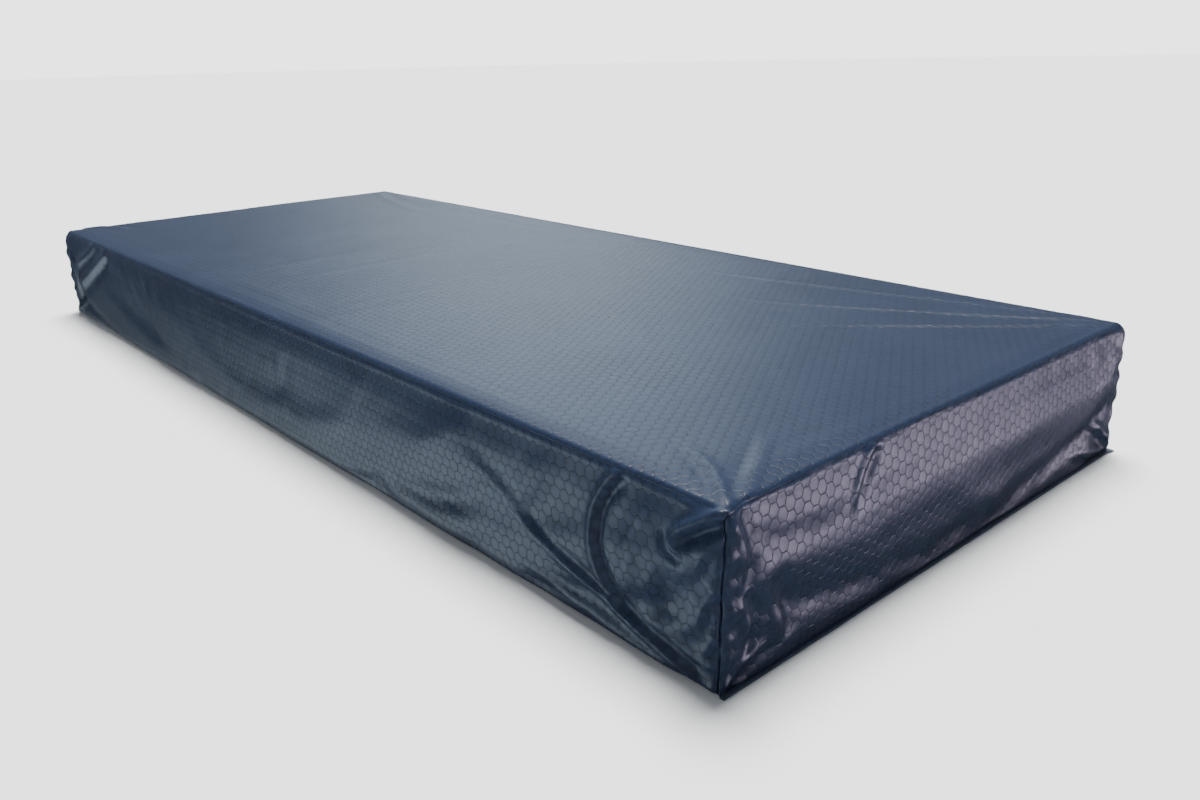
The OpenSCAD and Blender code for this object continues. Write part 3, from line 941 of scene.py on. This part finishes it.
seam_cloth = woven("seam cloth", (0.036, 0.050, 0.082), (0.022, 0.032, 0.056), 330, 0.00012, 0.40)
base_cloth_finish = woven("base cloth", (0.035, 0.042, 0.062), (0.022, 0.028, 0.045), 260, 0.0002, 0.62)
tape_cloth = woven("zip tape weave", (0.022, 0.026, 0.036), (0.012, 0.015, 0.022), 420, 0.0002, 0.7)
patch_cloth = woven("patch weave", (0.80, 0.80, 0.78), (0.70, 0.71, 0.70), 520, 0.0001, 0.75)
sock_knit = woven("sock knit", (0.74, 0.71, 0.63), (0.64, 0.61, 0.54), 300, 0.0003, 0.85)
thread = woven("seam thread", (0.12, 0.15, 0.22), (0.08, 0.10, 0.16), 900, 0.00004, 0.5)
for piece in (foot_fin, head_fin, side_tape, guard, *allowances):
    piece.data.materials.append(seam_cloth)
for piece, made in ((base, base_cloth_finish), (upper_tape, tape_cloth), (lower_tape, tape_cloth),
                    (label, patch_cloth), (sock, sock_knit), (label_thread, patch_cloth),
                    (fin_threads[0], thread), (fin_threads[1], thread)):
    piece.data.materials.append(made)
print("cloths finished")

# %% [markdown]
# Foam has open cells, which show as fine pits of two sizes; shade is painted into the pits as a
# darker colour. The zones differ in colour, as makers dye them, so that the layers can be told
# apart. The zip's hard parts are moulded plastic and die-cast metal.

# %% Finish the foam and the hard parts
def foam(name, colour):
    made, wire, shader = finish(name, Sheen_Weight=0.15)
    place = object_place(wire)
    cells = wire.node("ShaderNodeTexVoronoi", {"feature": "F1"}, {"Vector": place, "Scale": 620.0})
    coarse = wire.node("ShaderNodeTexVoronoi", {"feature": "F1"}, {"Vector": place, "Scale": 210.0})
    drift = cloudy(wire, place, 9.0, 3.0)
    pits = cells * 0.6 + coarse * 0.4
    # Painted shade: the pits, the low places of the relief, take a darker colour.
    dark = tuple(c * 0.72 for c in colour)
    yellowed = (colour[0] * 0.95, colour[1] * 0.9, colour[2] * 0.72)
    tone = blend_colour(wire, pits.ramp(0.15, 0.6), dark, colour)
    aged = blend_colour(wire, drift.ramp(0.4, 0.75, 0.0, 0.35), tone, yellowed)
    connect(shader, Base_Color=aged, Roughness=0.86 + drift * 0.1, Normal=bump(wire, pits, 0.0006, 0.8))
    return made


def hard(name, colour, metallic, rough, scratch_scale):
    """Moulded plastic or cast metal, with fine scratches."""
    made, wire, shader = finish(name, Metallic=metallic)
    place = object_place(wire)
    scratches = cloudy(wire, place, scratch_scale, 4.0)
    tone = blend_colour(wire, scratches.ramp(0.35, 0.65), tuple(c * 0.8 for c in colour), colour)
    relief = bump(wire, scratches, 0.00003, 0.6)
    connect(shader, Base_Color=tone, Roughness=rough + scratches * 0.18, Normal=relief)
    return made


cream, blue = foam("cream foam", (0.84, 0.78, 0.58)), foam("blue foam", (0.36, 0.52, 0.68))
green, grey = foam("green foam", (0.50, 0.64, 0.46)), foam("grey foam", (0.36, 0.37, 0.40))
plastic = hard("zip plastic", (0.045, 0.052, 0.070), 0.0, 0.36, 700.0)
metal = hard("cast metal", (0.50, 0.51, 0.54), 1.0, 0.26, 900.0)
finishes = {
    "top_foam_head": blue, "top_foam_torso": cream, "top_foam_heel": blue, "mid_foam": green,
    "base_foam": cream, "rail_zip_side": grey, "rail_seam_side": grey, "rail_head": grey,
    "rail_foot": grey, "zip_teeth_upper": plastic, "zip_teeth_lower": plastic,
    "zip_end_stops": metal, "zip_slider": metal, "zip_pull": metal}
for node, made in finishes.items():
    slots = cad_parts[node].data.materials
    slots.clear()
    slots.append(made)
print("foam and hard parts finished")

# %% [markdown]
# ## Floor and light
#
# The floor is one pale sheet, much larger than the mattress, with a pale wall standing far off
# all round it, so that no edge shows. Glossy rays pass both by: the cloth mirrors the studio's
# own soft glows instead of a white floor, which would wash out its deep colour.

# %% Lay the floor and the wall around
def stage_piece(name, points, quads, made):
    """A piece of the studio, not of the mattress. The cloth doesn't mirror it."""
    piece = plain_object(name, points, quads)
    piece.data.materials.append(made)
    piece.visible_glossy = False
    return piece


reach = 30.0
floor_finish, _, _ = finish(
    "pale floor", Base_Color=(0.88, 0.88, 0.88, 1), Roughness=0.95, Specular_IOR_Level=0.05)
floor_corners = [(-reach, -reach, 0), (reach, -reach, 0), (reach, reach, 0), (-reach, reach, 0)]
stage_piece("floor", floor_corners, [(0, 1, 2, 3)], floor_finish)
far_wall, _, _ = finish(
    "far wall", Base_Color=(0, 0, 0, 1), Roughness=1.0, Emission_Color=(1, 1, 1, 1), Emission_Strength=3.0)
wall_reach, wall_top, sides = 28, 30.0, 64
turns = [k * 2 * math.pi / sides for k in range(sides)]
ring = [(wall_reach * math.cos(t), wall_reach * math.sin(t), z) for z in (-0.1, wall_top) for t in turns]
ring_faces = [(k, (k + 1) % sides, (k + 1) % sides + sides, k + sides) for k in range(sides)]
backdrop = stage_piece("backdrop", ring, ring_faces, far_wall)
backdrop.visible_diffuse = False
backdrop.visible_shadow = False
print("floor and backdrop laid")

# %% [markdown]
# A soft sun from behind lays a shadow on the floor towards the camera. The studio itself is a
# dim grey room, and each soft glow in it has a direction, a width, a height, a colour and a
# strength. The one behind makes the broad shine on the top, the one by the foot end catches
# that wall's fuller upper part, and the ones at the sides keep the long walls from going black.

# %% Light the scene
sun_data = bpy.data.lights.new("sun", "SUN")
sun_data.energy, sun_data.angle = 9.0, math.radians(30)
sun = bpy.data.objects.new("sun", sun_data)
sun.rotation_euler = (math.radians(-13), math.radians(-12), 0)
bpy.context.scene.collection.objects.link(sun)
world = bpy.data.worlds.new("studio")
world.use_nodes = True
sky = Wire(world.node_tree)
direction = sky.node("ShaderNodeTexCoord", None, None, out=0)
level = sky.node("ShaderNodeSeparateXYZ", None, {0: direction}, out=2)


def glow(towards, wide, tall):
    """A soft spot in the room: 1 in its middle, fading to 0 over its width and height."""
    towards = Vector(towards).normalized()
    beside = towards.cross(Vector((0, 0, 1))).normalized()
    facing, aside = (sky.node("ShaderNodeVectorMath", {"operation": "DOT_PRODUCT"},
                              {0: direction, 1: way}, out=1) for way in (towards, beside))
    u = aside / wide
    v = (level - towards.z) / tall
    return (u * u + v * v).ramp(0.0, 1.0, 1.0, 0.0) * facing.ramp(0.0, 0.1)


glows = {
    "behind": ((-0.74, 0.60, 0.34), 0.29, 0.21, (0.78, 0.92, 1.0), 3.4),
    "foot": ((0.72, 0.66, -0.20), 0.37, 0.18, (0.94, 0.80, 1.0), 19.0),
    "long side": ((-0.66, -0.60, -0.45), 0.42, 0.29, (0.76, 0.91, 1.0), 4.2),
    "back": ((-0.45, 0.85, -0.26), 0.50, 0.30, (0.85, 0.94, 1.0), 1.0),
    "head": ((0.68, -0.68, -0.22), 0.50, 0.30, (0.85, 0.94, 1.0), 1.0),
    "high": ((0.30, -0.90, 0.45), 0.60, 0.30, (0.95, 0.97, 1.0), 1.6),
}


def tinted(tint, strength):
    return sky.node("ShaderNodeVectorMath", {"operation": "SCALE"}, {0: tint, "Scale": strength})


light = tinted((0.80, 0.90, 1.0), level.ramp(-0.1, 0.25, 0.07, 0.20))
for towards, wide, tall, tint, strength in glows.values():
    shine = tinted(tint, glow(towards, wide, tall) * strength)
    light = sky.node("ShaderNodeVectorMath", {"operation": "ADD"}, {0: light, 1: shine})
world.node_tree.links.new(light.socket, world.node_tree.nodes["Background"].inputs["Color"])
bpy.context.scene.world = world
print("studio glows:", list(glows))
